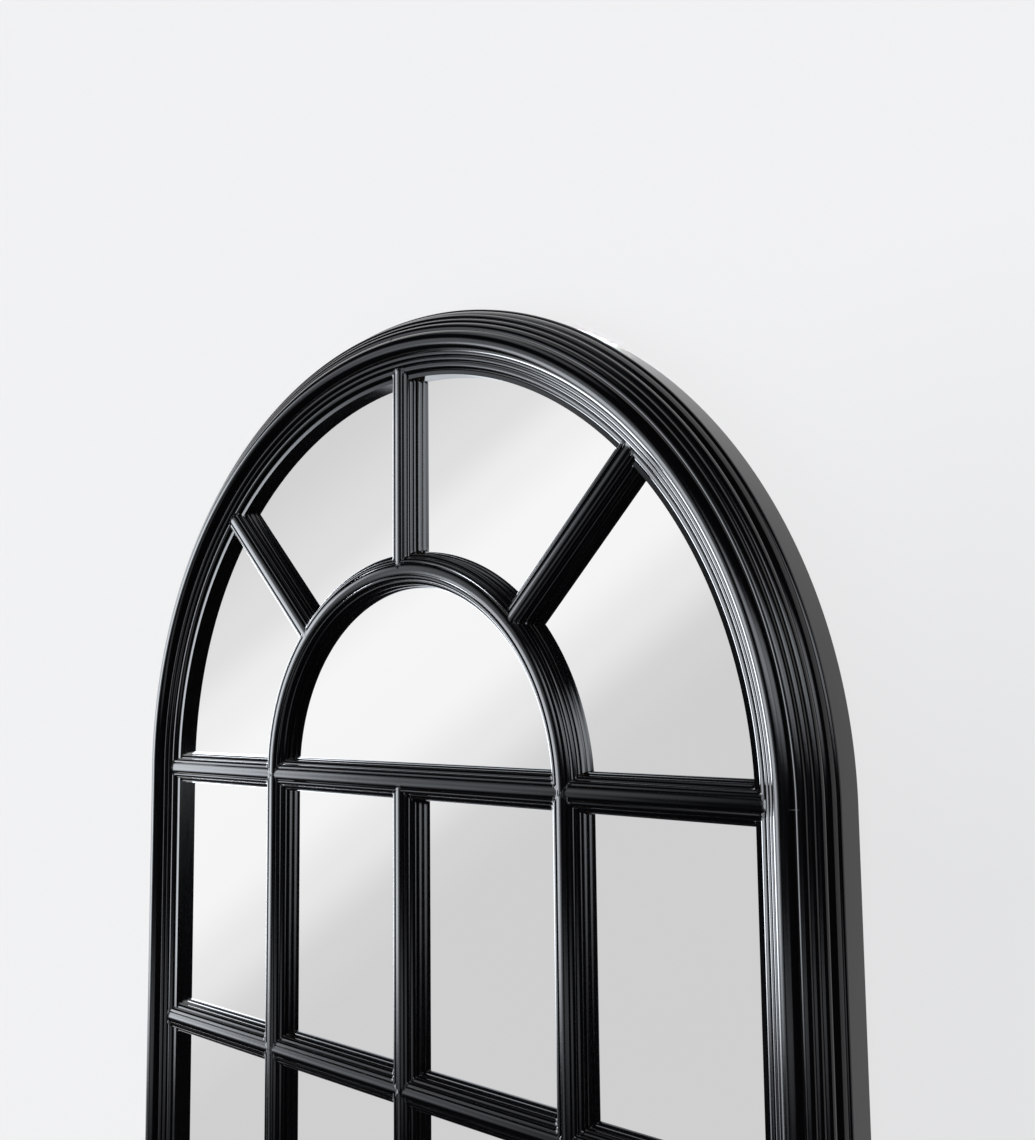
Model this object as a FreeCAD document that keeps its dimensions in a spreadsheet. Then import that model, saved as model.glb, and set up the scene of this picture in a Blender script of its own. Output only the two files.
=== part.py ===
"""Arched wall mirror with reeded mouldings, divided into panes like a fanlight window.

Millimetres. +Z is up, +X is to the right of someone facing the mirror and +Y points into the wall.
The origin is on the wall plane, midway between the two hooks that carry the hanger rings.
A section is drawn as (across, out): across the moulding, and out from the wall towards the room.
"""
import FreeCAD
import Part
import Sketcher
import math
import os
from FreeCAD import Placement, Rotation, Vector

SIZES = [
    ("overall_width", 1000, "outside width of the frame, and of its half-round top"),
    ("overall_height", 1800, "crown to bottom edge"),
    ("hook_drop", 150, "hooks below the springing line of the arch"),
    ("pane_rows", 4, "rows of panes below the transom"),
    ("glass_front", 17, "front of the glass, out from the wall"),
    ("glass_thickness", 4, "mirror glass"),
    ("glass_gap", 1, "play round the edge of a pane"),
    ("lip_wall", 22.5, "plain wall of the frame beside the glass"),
    ("lip_flat", 5, "flat edge at the top of that wall"),
    ("frame_rebate", 10, "cover of the frame over the glass"),
    ("lip_bead_run", 7.3, "frame moulding, from the flat edge outwards"),
    ("lip_bead_rise", 3.6, ""),
    ("lip_bead_bulge", 1.2, ""),
    ("inner_reed_run", 5, ""),
    ("inner_reed_rise", 3, ""),
    ("inner_reed_bulge", 0.9, ""),
    ("middle_reed_run", 5.1, ""),
    ("middle_reed_rise", 2.9, ""),
    ("middle_reed_bulge", 0.9, ""),
    ("front_roll_run", 21.1, ""),
    ("front_roll_rise", 2.4, ""),
    ("front_roll_bulge", 7.6, ""),
    ("outer_bead_run", 8.2, ""),
    ("outer_bead_rise", -4, ""),
    ("outer_bead_bulge", 2.2, ""),
    ("second_bead_run", 4.9, ""),
    ("second_bead_rise", -4, ""),
    ("second_bead_bulge", 1.3, ""),
    ("third_bead_run", 5.2, ""),
    ("third_bead_rise", -6, ""),
    ("third_bead_bulge", 2.2, ""),
    ("fourth_bead_run", 5.5, ""),
    ("fourth_bead_rise", -8.4, ""),
    ("fourth_bead_bulge", 1.2, ""),
    ("shoulder_run", 2.7, ""),
    ("shoulder_rise", -2.5, ""),
    ("shoulder_bulge", 0.8, ""),
    ("bar_width", 38.3, "glazing bar at the glass"),
    ("bar_rebate", 7, "cover of a bar over the glass"),
    ("foot_run", 0.75, "bar moulding, from the glass to the band"),
    ("foot_rise", 8.4, ""),
    ("foot_bulge", 0.7, ""),
    ("face_run", 1.7, ""),
    ("face_rise", 7.8, ""),
    ("face_bulge", 0.7, ""),
    ("low_reed_run", 4.7, ""),
    ("low_reed_rise", 5.6, ""),
    ("low_reed_bulge", 1.7, ""),
    ("high_reed_run", 5.6, ""),
    ("high_reed_rise", 5, ""),
    ("high_reed_bulge", 1.6, ""),
    ("band_bulge", 0.5, "crown of the flat band along the middle of a bar"),
    ("cope_gap", 0.9722, "play over the edges of the band where one bar is scribed to another"),
    ("tongue_gap", 0.5, "end of a bar's tongue to the wall of the frame rebate"),
    ("backing_thickness", 4, "fibreboard backing panel"),
    ("backing_gap", 1, "edge of the backing panel to the frame rebate"),
    ("dowel_diameter", 8, "beech dowels in the frame joints"),
    ("dowel_length", 50, ""),
    ("dowel_low", 12, "first dowel of a joint, out from the wall"),
    ("dowel_spacing", 19, "second dowel of a joint beyond the first"),
    ("screw_shank", 3.5, "wood screws"),
    ("screw_head", 7, ""),
    ("screw_head_height", 2, ""),
    ("backing_screw_length", 20, ""),
    ("hanger_screw_length", 18, ""),
    ("pocket_depth", 10, "recess in the frame back for a hanger"),
    ("pocket_width", 34, ""),
    ("pocket_margin", 4, "recess beyond the ends of the hanger"),
    ("well_depth", 17, "deeper well behind the ring for the head of the wall hook"),
    ("well_width", 20, ""),
    ("well_above", 5, "well above the hook"),
    ("well_below", 13, "well below the hook"),
    ("ring_wire", 3.2, "hanger ring of steel wire"),
    ("ring_inside", 22, "width inside the ring"),
    ("ring_leg", 3, "straight leg of the ring below its round top"),
    ("ring_corner", 3, "bend of the wire at the middle line"),
    ("ring_seam", 0.4, "open seam of the bent wire"),
    ("ring_play", 0.1, "ring wire to the strap loop, on the radius"),
    ("strap_metal", 1, "steel strip of the hanger strap"),
    ("strap_width", 14, ""),
    ("strap_length", 36, "below the ring's straight side"),
    ("strap_screw_top", 12, "first screw below the ring's straight side"),
    ("strap_screw_pitch", 15, ""),
]
FRAME_REEDS = [
    "lip_bead",
    "inner_reed",
    "middle_reed",
    "front_roll",
    "outer_bead",
    "second_bead",
    "third_bead",
    "fourth_bead",
    "shoulder",
]
COLUMNS = 4
SECTORS = 4
SECTOR_ANGLE = 180 / SECTORS

doc = FreeCAD.newDocument("arched_window_mirror")
sheet = doc.addObject("Spreadsheet::Sheet", "Sizes")
for row, (alias, value, meaning) in enumerate(SIZES, start=1):
    sheet.set(f"A{row}", meaning)
    sheet.set(f"B{row}", str(value))
    sheet.setAlias(f"B{row}", alias)
doc.recompute()


def number(expression):
    """The present value of an expression on the sheet."""
    return float(sheet.evalExpression(expression))


# Lengths that follow from the sheet, as expressions
FRAME_FACE = "(Sizes.lip_flat + " + " + ".join(f"Sizes.{reed}_run" for reed in FRAME_REEDS) + ")"
FRAME_SIDE = (
    "(Sizes.glass_front + Sizes.lip_wall + "
    + " + ".join(f"Sizes.{reed}_rise" for reed in FRAME_REEDS)
    + ")"
)
ARCH_RADIUS = "(Sizes.overall_width / 2)"
SIGHT_RADIUS = f"({ARCH_RADIUS} - {FRAME_FACE})"
REBATE_RADIUS = f"({SIGHT_RADIUS} + Sizes.frame_rebate)"
STILE_LENGTH = f"(Sizes.overall_height - {ARCH_RADIUS})"
SIGHT_BOTTOM = f"({STILE_LENGTH} - {FRAME_FACE})"
REBATE_BOTTOM = f"({SIGHT_BOTTOM} + Sizes.frame_rebate)"
GLASS_BACK = "(Sizes.glass_front - Sizes.glass_thickness)"
BACKING_BACK = f"({GLASS_BACK} - Sizes.backing_thickness)"
COLUMN_PITCH = f"((2 * {SIGHT_RADIUS} + Sizes.bar_width) / {COLUMNS})"
ROW_PITCH = f"(({SIGHT_BOTTOM} + Sizes.bar_width / 2) / Sizes.pane_rows)"
TONGUE = "(Sizes.bar_width - 2 * Sizes.bar_rebate)"
PANE_EDGE = f"({TONGUE} / 2 + Sizes.glass_gap)"
BAND_WIDTH = (
    "(Sizes.bar_width - 2 * (Sizes.foot_run + Sizes.face_run + Sizes.low_reed_run + Sizes.high_reed_run))"
)
FOOT_TOP = "(Sizes.glass_front + Sizes.foot_rise)"
JOINT_RADIUS = f"(({REBATE_RADIUS} + {ARCH_RADIUS}) / 2)"
RING_RADIUS = "(Sizes.ring_wire / 2)"
RING_REACH = f"(Sizes.ring_inside / 2 + {RING_RADIUS})"
RING_TOP_CENTRE = f"({RING_RADIUS} - {RING_REACH})"
RING_AXIS = f"({RING_TOP_CENTRE} - Sizes.ring_leg - Sizes.ring_corner)"
LOOP_BORE = f"({RING_RADIUS} + Sizes.ring_play)"
LOOP_RADIUS = f"({LOOP_BORE} + Sizes.strap_metal)"
RING_DEPTH = f"(Sizes.pocket_depth - {LOOP_RADIUS})"
STRAP_PLATE = "(2 * Sizes.strap_metal)"

ROWS = round(number("Sizes.pane_rows"))
COLUMN_OFFSETS = [side - (COLUMNS - 2) / 2 for side in range(COLUMNS - 1)]

# How a section's across and out directions lie on a sketch plane
STANDING = {"plane": "XY_Plane", "across": Vector(1, 0, 0), "out": Vector(0, -1, 0)}
LYING = {"plane": "YZ_Plane", "across": Vector(0, 1, 0), "out": Vector(-1, 0, 0)}
LYING_DOWN = {"plane": "YZ_Plane", "across": Vector(0, -1, 0), "out": Vector(-1, 0, 0)}
FACING = {"plane": "XZ_Plane", "across": Vector(1, 0, 0), "out": Vector(0, 1, 0)}

ORIGIN_POINT = (-1, 1)
subparts = {}


def keep(obj, label):
    """Names a finished sub-part."""
    obj.Label = label
    subparts[label] = obj
    return obj


def new_body(name, height="Sizes.hook_drop", across="0"):
    """A body whose own origin is the arch centre on the wall plane, unless told otherwise."""
    body = doc.addObject("PartDesign::Body", name)
    body.setExpression("Placement.Base.x", across)
    body.setExpression("Placement.Base.z", height)
    return body


def new_sketch(body, name, view, offset="0"):
    planes = {feature.Role: feature for feature in body.Origin.OriginFeatures}
    sketch = body.newObject("Sketcher::SketchObject", name)
    sketch.AttachmentSupport = [(planes[view["plane"]], "")]
    sketch.MapMode = "FlatFace"
    sketch.setExpression("AttachmentOffset.Base.z", offset)
    return sketch


def bind(sketch, kind, references, value, expression):
    """Adds a dimension and ties it to the sheet."""
    index = sketch.addConstraint(Sketcher.Constraint(kind, *references, value))
    sketch.setExpression(f"Constraints[{index}]", expression)


def space(sketch, direction, first, second, expression):
    """Holds the second point an expression's length from the first along one sketch axis."""
    along_x = abs(direction.x) > 0.5
    if expression == "0":
        sketch.addConstraint(Sketcher.Constraint("Vertical" if along_x else "Horizontal", *first, *second))
        return
    sign = direction.x + direction.y
    value = sign * number(expression)
    if value < 0:
        first, second, sign = second, first, -sign
    text = expression if sign > 0 else f"-({expression})"
    bind(sketch, "DistanceX" if along_x else "DistanceY", (*first, *second), abs(value), text)


def arc_radius(run, rise, bulge):
    return f"((({run})^2 + ({rise})^2) / 4 + ({bulge})^2) / (2 * ({bulge}))"


def arc_between(first, second, view, radius):
    """A short arc that bulges out from the wall side; returns it with its end points in order of travel."""
    chord = second - first
    handed = view["across"].cross(view["out"]).z
    left = Vector(-chord.y, chord.x, 0).normalize() * handed
    middle = (first + second) / 2
    centre = middle - left * math.sqrt(radius**2 - chord.Length**2 / 4)
    circle = Part.Circle(centre, Vector(0, 0, 1), radius)
    from_centre, to_centre = first - centre, second - centre
    start = math.atan2(from_centre.y, from_centre.x)
    stop = math.atan2(to_centre.y, to_centre.x)
    if from_centre.cross(to_centre).z > 0:
        return Part.ArcOfCircle(circle, start, stop), 1, 2
    return Part.ArcOfCircle(circle, stop, start), 2, 1


def draw_outline(sketch, view, start, steps):
    """A closed chain of lines and arcs; a step is (across, out) or (across, out, bulge)."""
    position = view["across"] * number(start[0]) + view["out"] * number(start[1])
    origin = position
    first_end = None
    last_end = None
    for step in steps:
        run, rise = step[0], step[1]
        target = position + view["across"] * number(run) + view["out"] * number(rise)
        if len(step) == 3:
            radius = arc_radius(*step)
            curve, begin, end = arc_between(position, target, view, number(radius))
        else:
            curve, begin, end = Part.LineSegment(position, target), 1, 2
        index = sketch.addGeometry(curve)
        if first_end is None:
            first_end = (index, begin)
            space(sketch, view["across"], ORIGIN_POINT, first_end, start[0])
            space(sketch, view["out"], ORIGIN_POINT, first_end, start[1])
        else:
            sketch.addConstraint(Sketcher.Constraint("Coincident", *last_end, index, begin))
        space(sketch, view["across"], (index, begin), (index, end), run)
        space(sketch, view["out"], (index, begin), (index, end), rise)
        if len(step) == 3:
            bind(sketch, "Radius", (index,), number(radius), radius)
        last_end = (index, end)
        position = target
    index = sketch.addGeometry(Part.LineSegment(position, origin))
    sketch.addConstraint(Sketcher.Constraint("Coincident", *last_end, index, 1))
    sketch.addConstraint(Sketcher.Constraint("Coincident", index, 2, *first_end))


def left_arc(first, second, radius):
    chord = second - first
    left = Vector(-chord.y, chord.x, 0).normalize()
    centre = (first + second) / 2 + left * math.sqrt(radius**2 - chord.Length**2 / 4)
    start = first - centre
    stop = second - centre
    circle = Part.Circle(centre, Vector(0, 0, 1), radius)
    return Part.ArcOfCircle(circle, math.atan2(start.y, start.x), math.atan2(stop.y, stop.x))


def draw_path(sketch, start, steps):
    """An open path of lines and left-turning arcs; a step is (across, up, radius or None)."""
    position = Vector(number(start[0]), number(start[1]), 0)
    last_end = ORIGIN_POINT
    for index, (run, rise, radius) in enumerate(steps):
        target = position + Vector(number(run), number(rise), 0)
        curve = Part.LineSegment(position, target)
        if radius:
            curve = left_arc(position, target, number(radius))
        sketch.addGeometry(curve)
        if index == 0:
            space(sketch, FACING["across"], ORIGIN_POINT, (0, 1), start[0])
            space(sketch, FACING["out"], ORIGIN_POINT, (0, 1), start[1])
        else:
            sketch.addConstraint(Sketcher.Constraint("Coincident", *last_end, index, 1))
        space(sketch, FACING["across"], (index, 1), (index, 2), run)
        space(sketch, FACING["out"], (index, 1), (index, 2), rise)
        if radius:
            bind(sketch, "Radius", (index,), number(radius), radius)
        last_end = (index, 2)
        position = target


def draw_circle(sketch, view, centre, radius):
    position = view["across"] * number(centre[0]) + view["out"] * number(centre[1])
    index = sketch.addGeometry(Part.Circle(position, Vector(0, 0, 1), number(radius)))
    space(sketch, view["across"], ORIGIN_POINT, (index, 3), centre[0])
    space(sketch, view["out"], ORIGIN_POINT, (index, 3), centre[1])
    bind(sketch, "Radius", (index,), number(radius), radius)


def pad(body, sketch, length, reverse=False, both_ways=False):
    feature = body.newObject("PartDesign::Pad", f"{body.Name}_pad")
    feature.Profile = sketch
    feature.setExpression("Length", length)
    feature.Reversed = reverse
    if both_ways:
        feature.SideType = "Symmetric"
    return feature


def pocket_through(body, sketch):
    feature = body.newObject("PartDesign::Pocket", f"{body.Name}_pocket")
    feature.Profile = sketch
    feature.Type = "ThroughAll"
    feature.SideType = "Symmetric"
    return feature


def sweep_arch(body, sketch, degrees):
    """Turns a standing section about the arch centre, from the right-hand springing upwards."""
    feature = body.newObject("PartDesign::Revolution", f"{body.Name}_sweep")
    feature.Profile = sketch
    feature.ReferenceAxis = (sketch, ["V_Axis"])
    feature.Angle = degrees
    feature.Reversed = True
    return feature


def mirrored(source, name):
    """The left-hand twin of a right-hand piece."""
    twin = doc.addObject("Part::Mirroring", name)
    twin.Source = source
    twin.Base = Vector(0, 0, 0)
    twin.Normal = Vector(1, 0, 0)
    return twin


def cut(base, tools, name):
    """Cuts each tool from the base in turn."""
    for index, tool in enumerate(tools):
        step = doc.addObject("Part::Cut", f"{name}_cut_{index}")
        step.Base = base
        step.Tool = tool
        base = step
    return base


def join(pieces, name):
    fused = doc.addObject("Part::MultiFuse", name)
    fused.Shapes = pieces
    fused.Refine = True
    return fused


def group(pieces, name):
    compound = doc.addObject("Part::Compound", name)
    compound.Links = pieces
    return compound


def bind_place(obj, across, out, up, rotation=Rotation()):
    """Puts an object at a place measured from the origin on the wall plane."""
    obj.Placement = Placement(Vector(), rotation)
    obj.setExpression("Placement.Base.x", across)
    obj.setExpression("Placement.Base.y", f"-({out})")
    obj.setExpression("Placement.Base.z", up)


def block(name, width, depth, height, across, out, up):
    """A box centred across, from out towards the room and from up upwards."""
    box = doc.addObject("Part::Box", name)
    box.setExpression("Length", width)
    box.setExpression("Width", depth)
    box.setExpression("Height", height)
    bind_place(box, f"({across}) - ({width}) / 2", f"({out}) + ({depth})", up)
    return box


def rod(name, diameter, length, across, out, up, rotation):
    """A cylinder that starts at a place and runs along its turned axis."""
    cylinder = doc.addObject("Part::Cylinder", name)
    cylinder.setExpression("Radius", f"({diameter}) / 2")
    cylinder.setExpression("Height", length)
    bind_place(cylinder, across, out, up, rotation)
    return cylinder


INTO_ROOM = Rotation(Vector(1, 0, 0), 90)


def frame_section():
    """The frame moulding: glass lip and its edge, reeds over the front, flat side, back and rebate."""
    reeds = [tuple(f"Sizes.{reed}_{part}" for part in ("run", "rise", "bulge")) for reed in FRAME_REEDS]
    return [
        ("0", "Sizes.lip_wall"),
        ("Sizes.lip_flat", "0"),
        *reeds,
        ("0", f"-{FRAME_SIDE}"),
        (f"-({FRAME_FACE} - Sizes.frame_rebate)", "0"),
        ("0", "Sizes.glass_front"),
    ]


def bar_foot_section():
    """The back half of a glazing bar: a tongue between two panes and the foot in front of them."""
    return [
        ("0", "Sizes.glass_thickness"),
        ("-Sizes.bar_rebate", "0"),
        ("Sizes.foot_run", "Sizes.foot_rise", "Sizes.foot_bulge"),
        ("(Sizes.bar_width - 2 * Sizes.foot_run)", "0"),
        ("Sizes.foot_run", "-Sizes.foot_rise", "Sizes.foot_bulge"),
        ("-Sizes.bar_rebate", "0"),
        ("0", "-Sizes.glass_thickness"),
    ]


def bar_moulding_section():
    """The front half of a glazing bar: steep faces, two reeds each side and the flat band."""
    return [
        ("Sizes.face_run", "Sizes.face_rise", "Sizes.face_bulge"),
        ("Sizes.low_reed_run", "Sizes.low_reed_rise", "Sizes.low_reed_bulge"),
        ("Sizes.high_reed_run", "Sizes.high_reed_rise", "Sizes.high_reed_bulge"),
        (BAND_WIDTH, "0", "Sizes.band_bulge"),
        ("Sizes.high_reed_run", "-Sizes.high_reed_rise", "Sizes.high_reed_bulge"),
        ("Sizes.low_reed_run", "-Sizes.low_reed_rise", "Sizes.low_reed_bulge"),
        ("Sizes.face_run", "-Sizes.face_rise", "Sizes.face_bulge"),
    ]


def bar_cope_section():
    """The space that a bar's moulding takes from another that is scribed to it, grooves included.

    Its front is one arc that clears the edges of the band, however wide the bar is.
    """
    width = "(Sizes.bar_width - 2 * (Sizes.foot_run + Sizes.face_run))"
    over_edge = "(Sizes.low_reed_rise + Sizes.high_reed_rise + Sizes.cope_gap)"
    centre = f"(({BAND_WIDTH}^2 / 4 + {over_edge}^2 - {width}^2 / 4) / (2 * {over_edge}))"
    dome_rise = f"({centre} + sqrt({width}^2 / 4 + {centre}^2))"
    return [
        ("Sizes.face_run", "Sizes.face_rise", "Sizes.face_bulge"),
        (width, "0", dome_rise),
        ("Sizes.face_run", "-Sizes.face_rise", "Sizes.face_bulge"),
    ]


BAR_LAYERS = {
    "foot": (f"-{TONGUE} / 2", GLASS_BACK, bar_foot_section()),
    "moulding": ("Sizes.foot_run - Sizes.bar_width / 2", FOOT_TOP, bar_moulding_section()),
    "cope": ("Sizes.foot_run - Sizes.bar_width / 2", FOOT_TOP, bar_cope_section()),
}


def bar_layer(name, layer, view, middle, offset="0", tilt=0):
    """A body with the section sketch of one layer of a bar, ready to be extended."""
    side, out, steps = BAR_LAYERS[layer]
    body = new_body(f"{name}_{layer}")
    body.Placement = Placement(body.Placement.Base, Rotation(Vector(0, 1, 0), tilt))
    sketch = new_sketch(body, f"{name}_{layer}_section", view, offset)
    draw_outline(sketch, view, (f"{middle} + {side}", out), steps)
    return body, sketch


def straight_bar(name, view, middle, foot_span, moulding_span, tilt=0):
    """The layers of a straight bar, each from the start to the end of its span."""
    spans = {"foot": foot_span, "moulding": moulding_span, "cope": moulding_span}
    layers = {}
    for layer, (start, end) in spans.items():
        body, sketch = bar_layer(name, layer, view, middle, start, tilt)
        pad(body, sketch, f"{end} - ({start})")
        layers[layer] = body
    return layers


def scribe(moulding, crossed, ends, name):
    """Fits a moulding to the bars that it meets and to the frame."""
    tools = [bar[layer] for bar in crossed for layer in ("moulding", "cope")]
    return cut(moulding, tools + ends, name)


# Frame blanks
arch_right_blank = new_body("arch_right_blank")
arch_section = new_sketch(arch_right_blank, "arch_section", STANDING)
draw_outline(arch_section, STANDING, (SIGHT_RADIUS, "Sizes.glass_front"), frame_section())
sweep_arch(arch_right_blank, arch_section, 90)

stile_right_blank = new_body("stile_right_blank")
stile_section = new_sketch(stile_right_blank, "stile_section", STANDING)
draw_outline(stile_section, STANDING, (SIGHT_RADIUS, "Sizes.glass_front"), frame_section())
pad(stile_right_blank, stile_section, STILE_LENGTH, reverse=True)
stile_mitre = new_sketch(stile_right_blank, "stile_mitre", FACING)
draw_outline(
    stile_mitre,
    FACING,
    (ARCH_RADIUS, f"-{STILE_LENGTH}"),
    [(f"-{FRAME_FACE}", FRAME_FACE), ("0", f"-{FRAME_FACE}")],
)
pocket_through(stile_right_blank, stile_mitre)

rail_blank = new_body("rail_blank")
rail_section = new_sketch(rail_blank, "rail_section", LYING_DOWN)
draw_outline(rail_section, LYING_DOWN, (SIGHT_BOTTOM, "Sizes.glass_front"), frame_section())
pad(rail_blank, rail_section, "Sizes.overall_width", both_ways=True)
rail_mitres = new_sketch(rail_blank, "rail_mitres", FACING)
for side in ("", "-"):
    draw_outline(
        rail_mitres,
        FACING,
        (f"{side}{ARCH_RADIUS}", f"-{STILE_LENGTH}"),
        [("0", FRAME_FACE), (f"-({side}{FRAME_FACE})", "0")],
    )
pocket_through(rail_blank, rail_mitres)

arch_left_blank = mirrored(arch_right_blank, "arch_left_blank")
stile_left_blank = mirrored(stile_right_blank, "stile_left_blank")
sides = [arch_right_blank, arch_left_blank, stile_right_blank, stile_left_blank]

# Dowels: two in each joint, one beyond the other from the wall
HALF_DOWEL = "(Sizes.dowel_length / 2)"
SPRINGING = "Sizes.hook_drop"
CORNER_UP = f"({SPRINGING} - {STILE_LENGTH} + {ARCH_RADIUS} - {JOINT_RADIUS})"
MITRE_REACH = f"({HALF_DOWEL} * {math.sqrt(0.5)})"


def joint_dowels(name, across, up, rotation):
    levels = ["Sizes.dowel_low", "Sizes.dowel_low + Sizes.dowel_spacing"]
    return [
        rod(f"{name}_{index}", "Sizes.dowel_diameter", "Sizes.dowel_length", across, level, up, rotation)
        for index, level in enumerate(levels)
    ]


crown_dowels = joint_dowels(
    "crown_dowel", f"-{HALF_DOWEL}", f"{SPRINGING} + {JOINT_RADIUS}", Rotation(Vector(0, 1, 0), 90)
)
springing_dowels = []
mitre_dowels = []
for name, sign in (("right", 1), ("left", -1)):
    springing_dowels += joint_dowels(
        f"springing_dowel_{name}", f"{sign} * {JOINT_RADIUS}", f"{SPRINGING} - {HALF_DOWEL}", Rotation()
    )
    mitre_dowels += joint_dowels(
        f"mitre_dowel_{name}",
        f"{sign} * ({JOINT_RADIUS} - {MITRE_REACH})",
        f"{CORNER_UP} - {MITRE_REACH}",
        Rotation(Vector(0, 1, 0), sign * 45),
    )
crown_dowels = keep(group(crown_dowels, "crown_dowels_group"), "crown_dowels")
springing_dowels = keep(group(springing_dowels, "springing_dowels_group"), "springing_dowels")
mitre_dowels = keep(group(mitre_dowels, "mitre_dowels_group"), "mitre_dowels")


# Hangers: a folded steel strap and a wire ring that swings in its loop, right-hand one first
HANGER_ACROSS = JOINT_RADIUS


def hanger_ring():
    body = new_body("ring_body", "0", HANGER_ACROSS)
    path = new_sketch(body, "ring_path", FACING, RING_DEPTH)
    corner = "Sizes.ring_corner"
    side = f"({RING_REACH} - {corner} - Sizes.ring_seam / 2)"
    crown = f"({RING_REACH} * {1 - math.sqrt(0.5)})"
    shoulder = f"({RING_REACH} * {math.sqrt(0.5)})"
    draw_path(
        path,
        ("Sizes.ring_seam / 2", RING_AXIS),
        [
            (side, "0", None),
            (corner, corner, corner),
            ("0", "Sizes.ring_leg", None),
            (f"-{crown}", shoulder, RING_REACH),
            (f"-{shoulder}", crown, RING_REACH),
            (f"-{shoulder}", f"-{crown}", RING_REACH),
            (f"-{crown}", f"-{shoulder}", RING_REACH),
            ("0", "-Sizes.ring_leg", None),
            (corner, f"-{corner}", corner),
            (side, "0", None),
        ],
    )
    wire = new_sketch(body, "ring_wire_section", LYING, "Sizes.ring_seam / 2")
    draw_circle(wire, LYING, (RING_AXIS, RING_DEPTH), RING_RADIUS)
    pipe = body.newObject("PartDesign::AdditivePipe", "ring_pipe")
    pipe.Profile = wire
    pipe.Spine = path
    return body


def hanger_strap(screws):
    body = new_body("strap_body", "0", HANGER_ACROSS)
    loop = new_sketch(body, "strap_loop", LYING)
    draw_circle(loop, LYING, (RING_AXIS, RING_DEPTH), LOOP_RADIUS)
    pad(body, loop, "Sizes.strap_width", both_ways=True)
    plate = new_sketch(body, "strap_plate", LYING)
    draw_outline(
        plate,
        LYING,
        (RING_AXIS, "Sizes.pocket_depth"),
        [("-Sizes.strap_length", "0"), ("0", f"-{STRAP_PLATE}"), ("Sizes.strap_length", "0")],
    )
    pad(body, plate, "Sizes.strap_width", both_ways=True)
    bore = new_sketch(body, "strap_bore", LYING)
    draw_circle(bore, LYING, (RING_AXIS, RING_DEPTH), LOOP_BORE)
    pocket_through(body, bore)
    return cut(body, [screws], "strap_right")


def screw(name, length, across, out, up, flush):
    """A wood screw driven from the back towards the room: flush heads taper, the others stand proud."""
    shank = rod(f"{name}_shank", "Sizes.screw_shank", length, across, out, up, INTO_ROOM)
    head_out = out
    if flush:
        head = doc.addObject("Part::Cone", f"{name}_head")
        head.setExpression("Radius1", "Sizes.screw_head / 2")
        head.setExpression("Radius2", "Sizes.screw_shank / 2")
    else:
        head = doc.addObject("Part::Cylinder", f"{name}_head")
        head.setExpression("Radius", "Sizes.screw_head / 2")
        head_out = f"{out} - Sizes.screw_head_height"
    head.setExpression("Height", "Sizes.screw_head_height")
    bind_place(head, across, head_out, up, INTO_ROOM)
    return join([shank, head], name)


STRAP_BACK = f"(Sizes.pocket_depth - {STRAP_PLATE})"
screws_right = [
    screw(
        f"hanger_screw_{index}",
        "Sizes.hanger_screw_length",
        HANGER_ACROSS,
        STRAP_BACK,
        f"{RING_AXIS} - Sizes.strap_screw_top - {index} * Sizes.strap_screw_pitch",
        flush=False,
    )
    for index in range(2)
]
screws_right = group(screws_right, "hanger_screws_right")
screws_left = mirrored(screws_right, "hanger_screws_left")
keep(group([screws_right, screws_left], "hanger_screws_group"), "hanger_screws")
ring_right = keep(hanger_ring(), "d_ring_right")
keep(mirrored(ring_right, "ring_left"), "d_ring_left")
strap_right = keep(hanger_strap(screws_right), "hanger_strap_right")
keep(mirrored(strap_right, "strap_left"), "hanger_strap_left")

POCKET_BOTTOM = f"({RING_AXIS} - Sizes.strap_length - Sizes.pocket_margin)"
POCKET_TOP = "(Sizes.ring_wire + Sizes.pocket_margin)"
pocket = block(
    "hanger_pocket",
    "Sizes.pocket_width",
    "Sizes.pocket_depth",
    f"{POCKET_TOP} - {POCKET_BOTTOM}",
    HANGER_ACROSS,
    "0",
    POCKET_BOTTOM,
)
well = block(
    "hook_well",
    "Sizes.well_width",
    "Sizes.well_depth",
    "Sizes.well_above + Sizes.well_below",
    HANGER_ACROSS,
    "0",
    "-Sizes.well_below",
)

# Frame pieces
arch_right = keep(cut(arch_right_blank, [crown_dowels, springing_dowels], "arch_right"), "arch_right")
keep(mirrored(arch_right, "arch_left_twin"), "arch_left")
stile_tools = [springing_dowels, mitre_dowels, pocket, well, screws_right]
stile_right = keep(cut(stile_right_blank, stile_tools, "stile_right"), "stile_right")
keep(mirrored(stile_right, "stile_left_twin"), "stile_left")
keep(cut(rail_blank, [mitre_dowels], "rail"), "bottom_rail")

# Backing panel screws, driven into the bars from behind
MULLION_UP = [f"{SPRINGING} - {row + 0.5} * {ROW_PITCH}" for row in range(ROWS)]
SPOKE_MIDDLE = f"(({COLUMN_PITCH} + {SIGHT_RADIUS}) / 2)"


def backing_screw(name, across, up):
    return screw(name, "Sizes.backing_screw_length", across, BACKING_BACK, up, flush=True)


def polar(radius, degrees):
    turn = math.radians(degrees)
    return f"{math.cos(turn)} * {radius}", f"{SPRINGING} + {math.sin(turn)} * {radius}"


mullion_screws = [
    backing_screw(f"mullion_screw_{column}_{row}", f"{offset} * {COLUMN_PITCH}", up)
    for column, offset in enumerate(COLUMN_OFFSETS)
    for row, up in enumerate(MULLION_UP)
]
arch_screws = [
    backing_screw(f"arch_screw_{sector}", *polar(COLUMN_PITCH, (sector + 0.5) * SECTOR_ANGLE))
    for sector in range(SECTORS)
]
spoke_screws = [
    backing_screw(f"spoke_screw_{spoke}", *polar(SPOKE_MIDDLE, spoke * SECTOR_ANGLE))
    for spoke in range(1, SECTORS)
]
backing_screws = keep(
    group(mullion_screws + arch_screws + spoke_screws, "backing_screws_group"), "backing_screws"
)

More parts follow.
